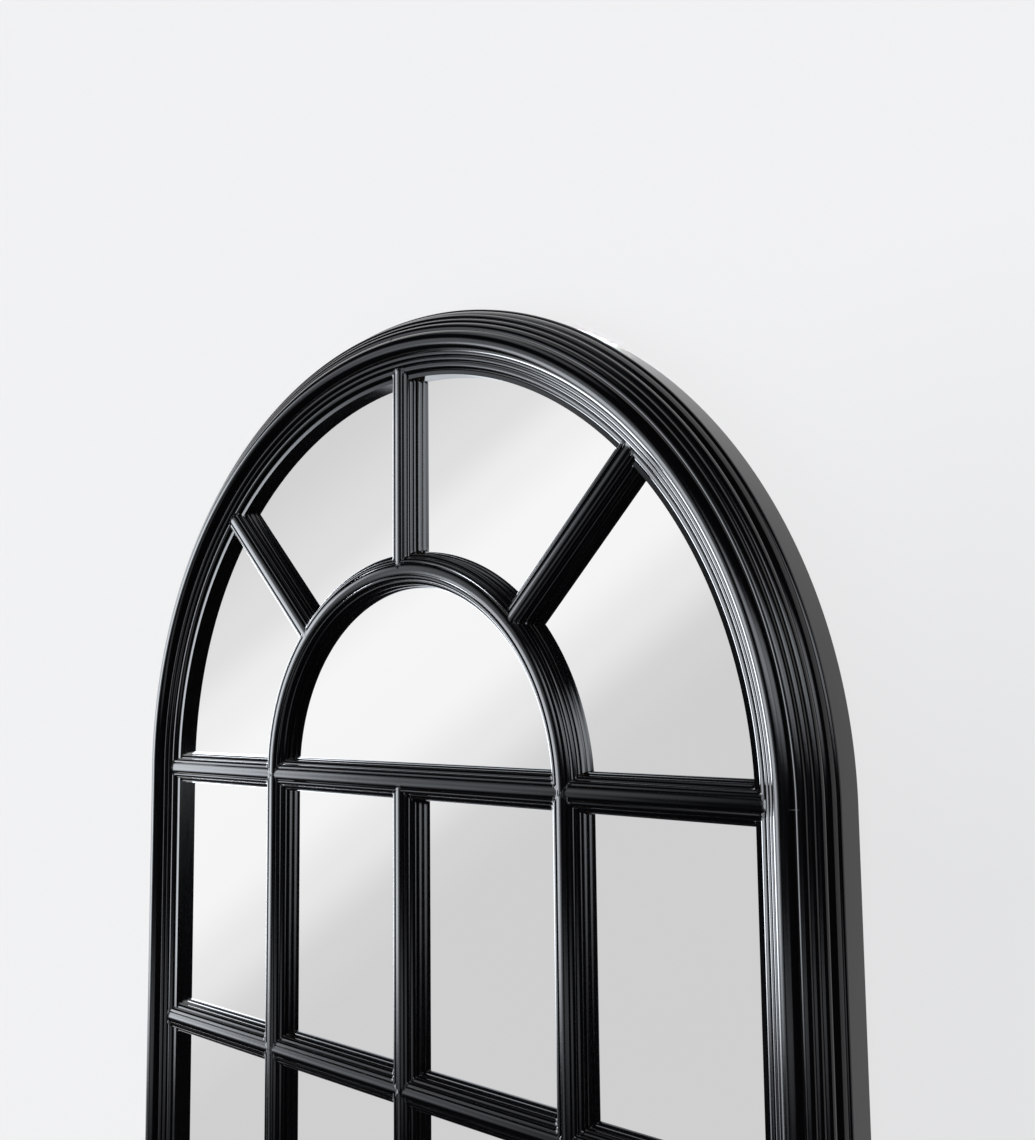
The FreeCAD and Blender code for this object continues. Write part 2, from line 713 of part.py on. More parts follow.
# Backing panel
panel = new_body("panel")
panel_outline = new_sketch(panel, "panel_outline", FACING, BACKING_BACK)
PANEL_RADIUS = f"({REBATE_RADIUS} - Sizes.backing_gap)"
PANEL_BOTTOM = f"({REBATE_BOTTOM} - Sizes.backing_gap)"
draw_path(
    panel_outline,
    (f"-{PANEL_RADIUS}", f"-{PANEL_BOTTOM}"),
    [
        (f"(2 * {PANEL_RADIUS})", "0", None),
        ("0", PANEL_BOTTOM, None),
        (f"-{PANEL_RADIUS}", PANEL_RADIUS, PANEL_RADIUS),
        (f"-{PANEL_RADIUS}", f"-{PANEL_RADIUS}", PANEL_RADIUS),
        ("0", f"-{PANEL_BOTTOM}", None),
    ],
)
pad(panel, panel_outline, "Sizes.backing_thickness")
keep(cut(panel, [backing_screws], "panel"), "backing_panel")

# Glazing bars: feet halve through each other at the back, mouldings are scribed together in front
TONGUE_REACH = f"({REBATE_RADIUS} - Sizes.tongue_gap)"
TONGUE_BOTTOM = f"({REBATE_BOTTOM} - Sizes.tongue_gap)"
LIP_FACE = "(Sizes.lip_flat + Sizes.lip_bead_run + Sizes.inner_reed_run + Sizes.middle_reed_run)"
SCRIBE_REACH = f"({SIGHT_RADIUS} + {LIP_FACE})"
SCRIBE_BOTTOM = f"({SIGHT_BOTTOM} + {LIP_FACE})"
ACROSS_SPANS = ((f"-{TONGUE_REACH}", TONGUE_REACH), (f"-{SCRIBE_REACH}", SCRIBE_REACH))
SPOKE_SPANS = ((f"{COLUMN_PITCH} + {TONGUE} / 2", TONGUE_REACH), (COLUMN_PITCH, SCRIBE_REACH))

inner_arch = {}
for layer in BAR_LAYERS:
    inner_arch[layer], layer_sketch = bar_layer("inner_arch", layer, STANDING, COLUMN_PITCH)
    sweep_arch(inner_arch[layer], layer_sketch, 180)
transom = straight_bar("transom", LYING, "0", *ACROSS_SPANS)
cross_bars = [
    straight_bar(f"cross_bar_{row}", LYING, f"-{row} * {ROW_PITCH}", *ACROSS_SPANS) for row in range(1, ROWS)
]
mullions = []
for column, offset in enumerate(COLUMN_OFFSETS):
    foot_top = f"-{TONGUE} / 2" if offset == 0 else "0"
    mullion_spans = ((f"-{TONGUE_BOTTOM}", foot_top), (f"-{SCRIBE_BOTTOM}", "0"))
    mullions.append(straight_bar(f"mullion_{column}", STANDING, f"{offset} * {COLUMN_PITCH}", *mullion_spans))

for spoke, name in enumerate(("spoke_right", "spoke_centre"), start=1):
    layers = straight_bar(name, STANDING, "0", *SPOKE_SPANS, tilt=90 - spoke * SECTOR_ANGLE)
    arches = [arch_right_blank] if name == "spoke_right" else [arch_right_blank, arch_left_blank]
    foot = cut(layers["foot"], [inner_arch["foot"], *arches], f"{name}_back")
    moulding = scribe(layers["moulding"], [inner_arch], arches, f"{name}_front")
    keep(cut(join([foot, moulding], f"{name}_bar"), [backing_screws], name), name)
keep(mirrored(subparts["spoke_right"], "spoke_left_twin"), "spoke_left")

inner_arch_foot = cut(inner_arch["foot"], [transom["foot"]], "inner_arch_back")
inner_arch_joined = join([inner_arch_foot, inner_arch["moulding"]], "inner_arch_joined")
keep(cut(inner_arch_joined, [backing_screws], "inner_arch"), "inner_arch_bar")

transom_front = scribe(
    transom["moulding"], [inner_arch, mullions[0], mullions[-1]], sides, "transom_front"
)
transom_back = cut(transom["foot"], sides, "transom_back")
keep(join([transom_back, transom_front], "transom_bar"), "transom")

stiles = [stile_right_blank, stile_left_blank]
for row, layers in enumerate(cross_bars, start=1):
    front = scribe(layers["moulding"], mullions, stiles, f"cross_front_{row}")
    back = cut(layers["foot"], stiles, f"cross_back_{row}")
    keep(join([back, front], f"cross_joined_{row}"), f"cross_bar_{row}")

through_feet = [transom["foot"]] + [layers["foot"] for layers in cross_bars]
for name, layers in zip(("left", "centre", "right"), mullions):
    back = cut(layers["foot"], [*through_feet, rail_blank], f"mullion_back_{name}")
    met = [transom] if name == "centre" else []
    front = scribe(layers["moulding"], met, [rail_blank], f"mullion_front_{name}")
    bar = join([back, front], f"mullion_joined_{name}")
    keep(cut(bar, [backing_screws], f"mullion_{name}"), f"mullion_{name}")


# Panes
def sector_pane(name, outer, degrees, tilt, tools):
    """A slice of a disc of glass about the arch centre, from the right and tilted up from there."""
    disc = doc.addObject("Part::Cylinder", f"{name}_disc")
    disc.setExpression("Radius", outer)
    disc.setExpression("Height", "Sizes.glass_thickness")
    disc.Angle = degrees
    turn = Rotation(Vector(0, 1, 0), -tilt) * INTO_ROOM
    bind_place(disc, "0", GLASS_BACK, SPRINGING, turn)
    return keep(cut(disc, tools, name), name)


def slot(name, tilt):
    """The strip of a bar's tongue and its play, lying out from the arch centre at an angle."""
    strip = doc.addObject("Part::Box", name)
    strip.setExpression("Length", f"2 * {ARCH_RADIUS}")
    strip.setExpression("Width", "Sizes.glass_front")
    strip.setExpression("Height", f"2 * {PANE_EDGE}")
    body_turn = Rotation(Vector(0, 1, 0), -tilt)
    corner = body_turn.multVec(Vector(1, 0, 0))
    down = body_turn.multVec(Vector(0, 0, -1))
    strip.Placement = Placement(Vector(), body_turn)
    strip.setExpression("Placement.Base.x", f"{-corner.x} * {ARCH_RADIUS} + {down.x} * {PANE_EDGE}")
    strip.setExpression("Placement.Base.y", "-Sizes.glass_front")
    strip.setExpression(
        "Placement.Base.z", f"{SPRINGING} + {-corner.z} * {ARCH_RADIUS} + {down.z} * {PANE_EDGE}"
    )
    return strip


slots = [slot(f"bar_slot_{spoke}", spoke * SECTOR_ANGLE) for spoke in range(SECTORS)]
hub = rod(
    "pane_hub", f"2 * ({COLUMN_PITCH} + {PANE_EDGE})", "Sizes.glass_front", "0", "0", SPRINGING, INTO_ROOM
)
sector_pane("half_round_pane", f"{COLUMN_PITCH} - {PANE_EDGE}", 180, 0, [slots[0]])
for sector in range(SECTORS):
    beside = [slots[sector], slots[(sector + 1) % SECTORS]]
    pane_name = f"fan_pane_{SECTORS - sector}"
    tilt = sector * SECTOR_ANGLE
    outer = f"{REBATE_RADIUS} - Sizes.glass_gap"
    sector_pane(pane_name, outer, SECTOR_ANGLE, tilt, [hub, *beside])

for column in range(COLUMNS):
    left = f"{column - COLUMNS / 2} * {COLUMN_PITCH} + {PANE_EDGE}"
    right = f"{column + 1 - COLUMNS / 2} * {COLUMN_PITCH} - {PANE_EDGE}"
    if column == 0:
        left = f"-{REBATE_RADIUS} + Sizes.glass_gap"
    if column == COLUMNS - 1:
        right = f"{REBATE_RADIUS} - Sizes.glass_gap"
    for row in range(ROWS):
        top = f"{SPRINGING} - {row} * {ROW_PITCH} - {PANE_EDGE}"
        bottom = f"{SPRINGING} - {row + 1} * {ROW_PITCH} + {PANE_EDGE}"
        if row == ROWS - 1:
            bottom = f"{SPRINGING} - {REBATE_BOTTOM} + Sizes.glass_gap"
        name = f"pane_row_{row + 1}_column_{column + 1}"
        pane = block(
            f"{name}_glass",
            f"({right}) - ({left})",
            "Sizes.glass_thickness",
            f"({top}) - ({bottom})",
            f"(({right}) + ({left})) / 2",
            GLASS_BACK,
            bottom,
        )
        keep(pane, name)

doc.recompute()

for obj in doc.Objects:
    if "Invalid" in obj.State or "Error" in obj.State:
        raise RuntimeError(f"{obj.Name} did not build: {obj.State}")
for label, obj in subparts.items():
    if obj.Shape.isNull() or not obj.Shape.isValid() or not obj.Shape.Solids:
        raise RuntimeError(f"{label} has no sound shape")

os.makedirs("parts", exist_ok=True)
for label, obj in subparts.items():
    obj.Shape.exportStep(f"parts/{label}.step")
    print(f"{label}: {len(obj.Shape.Solids)} solid, {obj.Shape.Volume / 1000:.1f} cm3")
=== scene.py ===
import math

import bmesh
import bpy
from mathutils import Matrix, Vector, noise


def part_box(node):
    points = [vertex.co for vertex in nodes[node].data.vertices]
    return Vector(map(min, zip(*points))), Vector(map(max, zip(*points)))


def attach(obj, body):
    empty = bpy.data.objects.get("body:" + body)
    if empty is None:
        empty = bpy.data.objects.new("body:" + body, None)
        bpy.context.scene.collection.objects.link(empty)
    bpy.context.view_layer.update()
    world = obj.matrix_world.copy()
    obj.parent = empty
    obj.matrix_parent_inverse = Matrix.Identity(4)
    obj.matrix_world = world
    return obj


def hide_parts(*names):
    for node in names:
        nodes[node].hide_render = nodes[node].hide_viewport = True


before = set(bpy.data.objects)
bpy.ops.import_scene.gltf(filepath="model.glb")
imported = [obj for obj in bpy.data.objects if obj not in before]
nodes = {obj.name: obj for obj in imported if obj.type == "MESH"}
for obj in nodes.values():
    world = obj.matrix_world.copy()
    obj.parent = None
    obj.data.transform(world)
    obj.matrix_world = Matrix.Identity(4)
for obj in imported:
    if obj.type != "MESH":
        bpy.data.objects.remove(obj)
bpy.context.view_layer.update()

MM = 0.001


def middle(node, axis):
    """The middle of a node's box along one axis."""
    low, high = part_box(node)
    return (low[axis] + high[axis]) / 2


# Places read from the frame
OUTER_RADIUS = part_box("arch_right")[1].x
ARCH_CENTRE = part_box("arch_right")[0].z
FRAME_BOTTOM, SIGHT_BOTTOM = (corner.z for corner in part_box("bottom_rail"))
GLASS_BACK, GLASS_FRONT = sorted(-corner.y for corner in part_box("half_round_pane"))
COLUMN_PITCH = middle("mullion_right", 0)
CROSS_BARS = {name: middle(name, 2) for name in ("cross_bar_1", "cross_bar_2", "cross_bar_3")}

# Reeds of the frame moulding from the glass outwards, and of half a bar from the glass to its band:
# run across, rise out from the wall and bulge of each, in millimetres
LIP_REEDS = [(7.3, 3.6, 1.2), (5.0, 3.0, 0.9), (5.1, 2.9, 0.9)]
FRONT_ROLL = (21.1, 2.4, 7.6)
OUTER_BEADS = [(8.2, -4, 2.2), (4.9, -4, 1.3), (5.2, -6, 2.2), (5.5, -8.4, 1.2), (2.7, -2.5, 0.8)]
FRAME_REEDS = [*LIP_REEDS, FRONT_ROLL, *OUTER_BEADS]
LIP_WALL = 22.5 * MM
LIP_FLAT = 5 * MM
FRAME_REBATE = 10 * MM
BAR_REEDS = [(0.75, 8.4, 0.7), (1.7, 7.8, 0.7), (4.7, 5.6, 1.7), (4.4, 4.4, 1.4)]
BAR_WIDTH = 38.3 * MM
BAR_REBATE = 7 * MM
BAND_GROOVE = [(1.1, -1.7, 0), (1.0, 1.8, 0)]
BAND_BULGE = 1.0
SIGHT_RADIUS = OUTER_RADIUS - LIP_FLAT - sum(reed[0] for reed in FRAME_REEDS) * MM

# Recesses in the backs of the stiles, the well measured from the hook
POCKET_WIDTH, POCKET_DEPTH, POCKET_MARGIN = 34 * MM, 10 * MM, 4 * MM
WELL_WIDTH, WELL_DEPTH = 20 * MM, 17 * MM
WELL_ABOVE, WELL_BELOW = 5 * MM, 13 * MM

# How finely the mouldings are drawn, and how evenly they were made by hand
REED_STEP = 0.9 * MM
PATH_STEP = 7 * MM
FLAT_STEPS = 3
RIPPLE = 0.04 * MM
RIPPLE_LENGTH = 45 * MM
PLAIN_EDGE = 1 * MM
JOINT_FILL = 1.1 * MM
JOINT_REACH = 4 * MM
JOINT_LUMP = 2.5 * MM
LUMP_MEAN, LUMP_SWING = 0.75, 0.5
JOINT_STATIONS = [place * MM for place in (0, 0.6, 1.2, 1.9, 2.8, 4, 6)]

# Least sine of the turn that makes a hollow crease a groove, which gets painted shade in the lacquer
GROOVE_TURN = 0.15


def bowed(start, run, rise, bulge):
    """Points on the way from start over a run and a rise, bowed outwards; start itself is left out."""
    chord = math.hypot(run, rise)
    steps = max(1, round(chord / REED_STEP)) if bulge else FLAT_STEPS
    points = []
    for step in range(1, steps + 1):
        share = step / steps
        along, off = chord * share, 0.0
        if bulge:
            radius = (chord**2 / 4 + bulge**2) / (2 * bulge)
            angle = math.asin(chord / 2 / radius) * (2 * share - 1)
            along = chord / 2 + radius * math.sin(angle)
            off = bulge - radius * (1 - math.cos(angle))
        across = start[0] + (run * along - rise * off) / chord
        out = start[1] + (rise * along + run * off) / chord
        points.append((across, out))
    return points


class Section:
    """A closed outline with the points where two reeds meet in a crease."""

    def __init__(self, start):
        self.points = [start]
        self.creases = {0}

    def add(self, run, rise, bulge=0.0):
        """Goes on over one reed, or straight on without a bulge."""
        self.points += bowed(self.points[-1], run, rise, bulge)
        self.creases.add(len(self.points) - 1)

    def add_reeds(self, reeds):
        """Goes on over several reeds, given in millimetres."""
        for run, rise, bulge in reeds:
            self.add(run * MM, rise * MM, bulge * MM)

    def grooves(self):
        """One for each point where two reeds meet in a hollow crease, and nought for the others."""
        count = len(self.points)
        found = []
        for index, point in enumerate(self.points):
            before, after = Vector(self.points[index - 1]), Vector(self.points[(index + 1) % count])
            arriving, leaving = Vector(point) - before, after - Vector(point)
            hollow_turn = arriving.cross(leaving) > GROOVE_TURN * arriving.length * leaving.length
            found.append(float(index in self.creases and hollow_turn))
        return found

    def normals(self):
        """The outward direction at each point."""
        count = len(self.points)
        found = []
        for index in range(count):
            before, after = self.points[index - 1], self.points[(index + 1) % count]
            found.append(Vector((before[1] - after[1], after[0] - before[0])).normalized())
        return found


def frame_section():
    """Glass lip, reeds over the front, flat side, back and rebate; across starts at the arch centre."""
    section = Section((SIGHT_RADIUS, GLASS_FRONT))
    section.add(0, LIP_WALL)
    section.add(LIP_FLAT, 0)
    section.add_reeds(FRAME_REEDS)
    section.add(0, -section.points[-1][1])
    section.add(-(OUTER_RADIUS - SIGHT_RADIUS - FRAME_REBATE), 0)
    section.add(0, GLASS_FRONT)
    return section


def bar_section():
    """Tongue between the panes, flanks, reeds and band; across is measured from the middle line."""
    flank = [*BAR_REEDS, *BAND_GROOVE]
    half_band = BAR_WIDTH / MM / 2 - sum(reed[0] for reed in flank)
    tongue = BAR_WIDTH / 2 - BAR_REBATE
    section = Section((-tongue, GLASS_BACK))
    section.add(0, GLASS_FRONT - GLASS_BACK)
    section.add(-BAR_REBATE, 0)
    section.add_reeds(flank)
    section.add(2 * half_band * MM, 0, BAND_BULGE * MM)
    section.add_reeds([(run, -rise, bulge) for run, rise, bulge in reversed(flank)])
    section.add(-BAR_REBATE, 0)
    section.add(0, GLASS_BACK - GLASS_FRONT)
    return section


def lip_section():
    """The part of the frame's face that the ends of the bars are fitted to."""
    section = Section((SIGHT_RADIUS, GLASS_FRONT + LIP_WALL))
    section.add(LIP_FLAT, 0)
    section.add_reeds(LIP_REEDS)
    return section


FRAME = frame_section()
BAR = bar_section()
LIP_FACE = lip_section().points


def lip_reach(out):
    """How far from the arch centre the inner face of the frame lies, at a height out from the wall."""
    if out <= LIP_FACE[0][1]:
        return SIGHT_RADIUS
    for (near, low), (far, high) in zip(LIP_FACE, LIP_FACE[1:]):
        if low < out <= high:
            return near + (far - near) * (out - low) / (high - low)
    return LIP_FACE[-1][0]


def stations(length, joints):
    """Shares of a length at which a moulding is drawn, closer together beside its joints."""
    near = JOINT_STATIONS if joints else [0]
    first, last = near[-1], length - near[-1]
    steps = max(1, round((last - first) / PATH_STEP))
    even = [first + (last - first) * step / steps for step in range(1, steps)]
    places = near + even + [length - place for place in reversed(near)]
    return [place / length for place in places]


def finish_shift(spot, end_gap, joints):
    """How far the finish lies off the section at a spot: a slight ripple, and filler beside a joint."""
    shift = RIPPLE * (noise.noise(spot / RIPPLE_LENGTH) - 1) / 2
    if joints and end_gap < JOINT_REACH:
        lump = LUMP_MEAN + LUMP_SWING * noise.noise(spot / JOINT_LUMP)
        shift += JOINT_FILL * lump * (1 - end_gap / JOINT_REACH) ** 2
    return shift


def skin(rows, count):
    """Faces of a tube of several rows of points, with its two ends closed."""
    faces = []
    for row in range(rows - 1):
        here, there = row * count, (row + 1) * count
        for index in range(count):
            beside = (index + 1) % count
            faces.append((here + index, here + beside, there + beside, there + index))
    last = (rows - 1) * count
    for index in range(count // 2 - 1):
        far = count - 1 - index
        faces.append((index, index + 1, far - 1, far))
        faces.append((last + far, last + far - 1, last + index + 1, last + index))
    return faces


def sweep(section, span, place, length, joints=False):
    """Vertices, faces, map coordinates, grooves, creases and rims of a moulding drawn along a path.

    span(across, out) gives where a line of the section starts and ends on the path, and
    place(across, out, where) puts it in space. At joints the finish fills the corner.
    """
    shares = stations(length, joints)
    rows, count = len(shares), len(section.points)
    normals = section.normals()
    girth = [0.0]
    for first, second in zip(section.points, section.points[1:]):
        girth.append(girth[-1] + math.dist(first, second))
    verts, coords = [], []
    for share in shares:
        along = share * length
        end_gap = min(along, length - along)
        for index, (across, out) in enumerate(section.points):
            start, end = span(across, out)
            where = start + (end - start) * share
            shift = 0.0
            if GLASS_FRONT + PLAIN_EDGE < out and across < OUTER_RADIUS - PLAIN_EDGE:
                shift = finish_shift(place(across, out, where), end_gap, joints)
            normal = normals[index]
            verts.append(place(across + normal.x * shift, out + normal.y * shift, where))
            coords.append((along, girth[index]))
    grooves = section.grooves() * rows
    creases = [row * count + index % count for row in range(rows) for index in section.creases]
    rims = list(range(count)) + list(range((rows - 1) * count, rows * count))
    return verts, skin(rows, count), coords, grooves, creases, rims


def build(name, shells, material, node=None):
    """One piece from swept shells, which stands for a node of the frame and rides on the mirror."""
    verts, faces, coords, grooves = [], [], [], []
    creased, rimmed = set(), set()
    for shell_verts, shell_faces, shell_coords, shell_grooves, creases, rims in shells:
        base = len(verts)
        verts += shell_verts
        coords += shell_coords
        grooves += shell_grooves
        faces += [tuple(corner + base for corner in face) for face in shell_faces]
        creased |= {corner + base for corner in creases}
        rimmed |= {corner + base for corner in rims}
    mesh = bpy.data.meshes.new(name)
    mesh.from_pydata(verts, [], faces)
    layer = mesh.uv_layers.new(name="along_girth")
    for loop in mesh.loops:
        layer.data[loop.index].uv = coords[loop.vertex_index]
    # The groove value marks hollow creases, where the lacquer's reflections are dimmed as painted shade
    mesh.attributes.new("groove", "FLOAT", "POINT").data.foreach_set("value", grooves)
    for edge in mesh.edges:
        ends = set(edge.vertices)
        edge.use_edge_sharp = ends <= creased or ends <= rimmed
    shape = bmesh.new()
    shape.from_mesh(mesh)
    bmesh.ops.recalc_face_normals(shape, faces=shape.faces)
    shape.to_mesh(mesh)
    shape.free()
    mesh.polygons.foreach_set("use_smooth", [True] * len(mesh.polygons))
    mesh.materials.append(material)
    piece = bpy.data.objects.new(name, mesh)
    bpy.context.scene.collection.objects.link(piece)
    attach(piece, "mirror")
    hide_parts(node or name)
    return piece


# Materials: most values of a noise lie within NOISE_SPAN, and STEEP_SPAN is how much of a normal points out
# of the wall on a flank and on a face
NOISE_SPAN = (0.3, 0.7)
STEEP_SPAN = (0.25, 0.65)
# GROOVE_SHADE_SPAN and the second LACQUER_SPECULAR value dim the reflections in hollow creases: painted
# shade
GROOVE_SHADE_SPAN = (0.25, 0.75)
LACQUER_TONES = ((0.0007, 0.0008, 0.0011), (0.0014, 0.0015, 0.0019))
LACQUER_ROUGHNESS = (0.09, 0.16)
LACQUER_SPECULAR = (0.5, 0.02)
STREAK_SCALE = (18, 700, 1)
FRAME_BRUSH, BAR_BRUSH, FRONT_BRUSH = 0.03, 0.25, 0.02
GLASS_TONES = ((0.905, 0.912, 0.912), (0.925, 0.926, 0.924))
FIBRE_TONES = ((0.135, 0.075, 0.038), (0.27, 0.165, 0.09))
FIBRE_SPAN = (0.7, 1.3)
BEECH_TONES = ((0.42, 0.26, 0.14), (0.58, 0.40, 0.24))
HANGER_TONE, HANGER_ROUGHNESS = (0.62, 0.60, 0.56), 0.3
SCREW_TONE, SCREW_ROUGHNESS = (0.52, 0.50, 0.46), 0.36
DULL_PLATING = 0.8
SCRATCH_SCALE = (900, 900, 60)


def new_material(name):
    """A material with its node tree and its main shader."""
    material = bpy.data.materials.new(name)
    material.use_nodes = True
    return material, material.node_tree, material.node_tree.nodes["Principled BSDF"]


def feed(tree, node, links):
    """Links sockets to the inputs of a shader node, or fills them with values."""
    for key, value in links.items():
        if isinstance(value, bpy.types.NodeSocket):
            tree.links.new(value, node.inputs[key])
        else:
            node.inputs[key].default_value = value


def add_node(tree, kind, links=None, **settings):
    """A shader node with its settings, and with what feeds or fills its inputs."""
    made = tree.nodes.new(kind)
    for key, value in settings.items():
        setattr(made, key, value)
    feed(tree, made, links or {})
    return made


def calculate(tree, operation, first, second=0.0):
    """The result of a sum on one or two grey sources."""
    made = add_node(tree, "ShaderNodeMath", {0: first, 1: second}, operation=operation)
    return made.outputs["Value"]


def spread(tree, source, low, high, start=0.0, end=1.0):
    """Maps a grey source from its start and end to a low and a high value."""
    mapped = add_node(tree, "ShaderNodeMapRange", {"Value": source, "From Min": start, "From Max": end,
                                                   "To Min": low, "To Max": high})
    return mapped.outputs["Result"]


def tint(tree, factor, first, second):
    """A colour between two others."""
    mixed = add_node(tree, "ShaderNodeMix", data_type="RGBA")
    feed(tree, mixed, {"Factor": factor, "A": (*first, 1), "B": (*second, 1)})
    return mixed.outputs["Result"]


def clouds(tree, place, scale, detail, roughness=0.5):
    """Grey noise, finer with a larger scale."""
    made = add_node(tree, "ShaderNodeTexNoise", {"Vector": place, "Scale": scale, "Detail": detail,
                                                 "Roughness": roughness})
    return made.outputs["Fac"]


def bump(tree, height, strength, distance, under=None):
    """The normal of a surface with a relief, on top of another relief where there is one."""
    links = {"Height": height, "Strength": strength, "Distance": distance}
    if under:
        links["Normal"] = under
    return add_node(tree, "ShaderNodeBump", links).outputs["Normal"]


def object_place(tree):
    """Where a point lies on its object."""
    return add_node(tree, "ShaderNodeTexCoord").outputs["Object"]


def lacquer(name, brush):
    """Black lacquer, rubbed smooth in front and left with lengthwise brush marks on the steep flanks; its
    reflections are dimmed in the hollow creases as painted shade.
    """
    material, tree, shader = new_material(name)
    along_girth = add_node(tree, "ShaderNodeUVMap", uv_map="along_girth").outputs["UV"]
    drawn_out = add_node(tree, "ShaderNodeMapping", {"Vector": along_girth, "Scale": STREAK_SCALE})
    streaks = clouds(tree, drawn_out.outputs["Vector"], 1.0, 3.0, 0.6)
    place = add_node(tree, "ShaderNodeTexCoord").outputs
    peel = bump(tree, clouds(tree, place["Object"], 160.0, 2.0), 0.04, 0.4 * MM)
    groove = add_node(tree, "ShaderNodeAttribute", attribute_name="groove").outputs["Fac"]
    normal = add_node(tree, "ShaderNodeSeparateXYZ", {"Vector": place["Normal"]})
    outwards = calculate(tree, "ABSOLUTE", normal.outputs["Y"])
    marks = spread(tree, outwards, brush, FRONT_BRUSH, *STEEP_SPAN)
    feed(tree, shader, {
        "Base Color": tint(tree, clouds(tree, place["Object"], 22.0, 4.0), *LACQUER_TONES),
        "Roughness": spread(tree, streaks, *LACQUER_ROUGHNESS, *NOISE_SPAN),
        # Painted shade: the specular level falls in the hollow creases
        "Specular IOR Level": spread(tree, groove, *LACQUER_SPECULAR, *GROOVE_SHADE_SPAN),
        "Normal": bump(tree, streaks, marks, 0.12 * MM, peel),
    })
    return material


def mirror_glass():
    """Silvered glass, a trace cooler in places where the silvering is thinner."""
    material, tree, shader = new_material("mirror_glass")
    silvering = clouds(tree, object_place(tree), 3.0, 2.0)
    feed(tree, shader, {
        "Base Color": tint(tree, silvering, *GLASS_TONES),
        "Metallic": 1.0,
        "Roughness": 0.0,
    })
    return material


def fibreboard():
    """Hardboard: brown felted fibres with darker flecks and a faint pressed texture."""
    material, tree, shader = new_material("fibreboard")
    place = object_place(tree)
    flecks = clouds(tree, place, 420.0, 6.0, 0.7)
    both = calculate(tree, "ADD", flecks, clouds(tree, place, 9.0, 4.0))
    feed(tree, shader, {
        "Base Color": tint(tree, spread(tree, both, 0.0, 1.0, *FIBRE_SPAN), *FIBRE_TONES),
        "Roughness": 0.72,
        "Normal": bump(tree, flecks, 0.35, 0.4 * MM),
    })
    return material


def steel(name, colour, roughness):
    """Plated steel with drawn scratches and small patches of duller plating."""
    material, tree, shader = new_material(name)
    place = object_place(tree)
    drawn = add_node(tree, "ShaderNodeMapping", {"Vector": place, "Scale": SCRATCH_SCALE})
    scratches = clouds(tree, drawn.outputs["Vector"], 1.0, 3.0)
    duller = tuple(channel * DULL_PLATING for channel in colour)
    feed(tree, shader, {
        "Base Color": tint(tree, clouds(tree, place, 180.0, 4.0), duller, colour),
        "Metallic": 1.0,
        "Roughness": spread(tree, scratches, roughness - 0.08, roughness + 0.1, *NOISE_SPAN),
        "Normal": bump(tree, scratches, 0.15, 0.05 * MM),
    })
    return material


def beech():
    """Pale beech with its short darker rays."""
    material, tree, shader = new_material("beech")
    grain = clouds(tree, object_place(tree), 300.0, 4.0)
    feed(tree, shader, {"Base Color": tint(tree, grain, *BEECH_TONES), "Roughness": 0.6})
    return material


FRAME_LACQUER = lacquer("frame_lacquer", FRAME_BRUSH)
BAR_LACQUER = lacquer("bar_lacquer", BAR_BRUSH)
SURFACES = {
    "mirror_glass": mirror_glass(),
    "fibreboard": fibreboard(),
    "hanger_steel": steel("hanger_steel", HANGER_TONE, HANGER_ROUGHNESS),
    "screw_steel": steel("screw_steel", SCREW_TONE, SCREW_ROUGHNESS),
    "beech": beech(),
}


# Frame
def quarter_arch(name, start):
    """A quarter of the half-round top, from a start angle upwards."""
    def span(across, out):
        return start, start + math.pi / 2

    def place(across, out, angle):
        return Vector((across * math.cos(angle), -out, ARCH_CENTRE + across * math.sin(angle)))

    length = math.pi / 2 * (SIGHT_RADIUS + OUTER_RADIUS) / 2
    shell = sweep(FRAME, span, place, length)
    return build(name, [shell], FRAME_LACQUER)


def hollow(piece, width, depth, across, bottom, top):
    """Cuts a square recess into the back of a piece."""
    shape = bmesh.new()
    bmesh.ops.create_cube(shape, size=1)
    bmesh.ops.scale(shape, verts=shape.verts, vec=(width, 2 * depth, top - bottom))
    bmesh.ops.translate(shape, verts=shape.verts, vec=(across, 0, (bottom + top) / 2))
    mesh = bpy.data.meshes.new("recess")
    shape.to_mesh(mesh)
    shape.free()
    cutter = bpy.data.objects.new("recess", mesh)
    bpy.context.scene.collection.objects.link(cutter)
    modifier = piece.modifiers.new("recess", "BOOLEAN")
    modifier.solver = "EXACT"
    modifier.object = cutter
    evaluated = piece.evaluated_get(bpy.context.evaluated_depsgraph_get())
    recessed = bpy.data.meshes.new_from_object(evaluated)
    piece.modifiers.remove(modifier)
    piece.data = recessed
    bpy.data.objects.remove(cutter)


def stile(name, side, hand):
    """A straight side of the frame, with a pocket for its hanger and a deeper well for the hook's head."""
    def span(across, out):
        return ARCH_CENTRE, FRAME_BOTTOM + OUTER_RADIUS - across

    def place(across, out, height):
        return Vector((side * across, -out, height))

    shell = sweep(FRAME, span, place, ARCH_CENTRE - FRAME_BOTTOM)
    piece = build(name, [shell], FRAME_LACQUER)
    strap, ring = f"hanger_strap_{hand}", f"d_ring_{hand}"
    pocket_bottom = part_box(strap)[0].z - POCKET_MARGIN
    pocket_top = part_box(ring)[1].z + POCKET_MARGIN
    hollow(piece, POCKET_WIDTH, POCKET_DEPTH, middle(strap, 0), pocket_bottom, pocket_top)
    hollow(piece, WELL_WIDTH, WELL_DEPTH, middle(strap, 0), -WELL_BELOW, WELL_ABOVE)
    return piece


def rail(name):
    """The bottom of the frame, mitred at both ends."""
    def span(across, out):
        return -across, across

    def place(across, out, along):
        return Vector((along, -out, SIGHT_BOTTOM + SIGHT_RADIUS - across))

    shell = sweep(FRAME, span, place, 2 * OUTER_RADIUS)
    return build(name, [shell], FRAME_LACQUER)


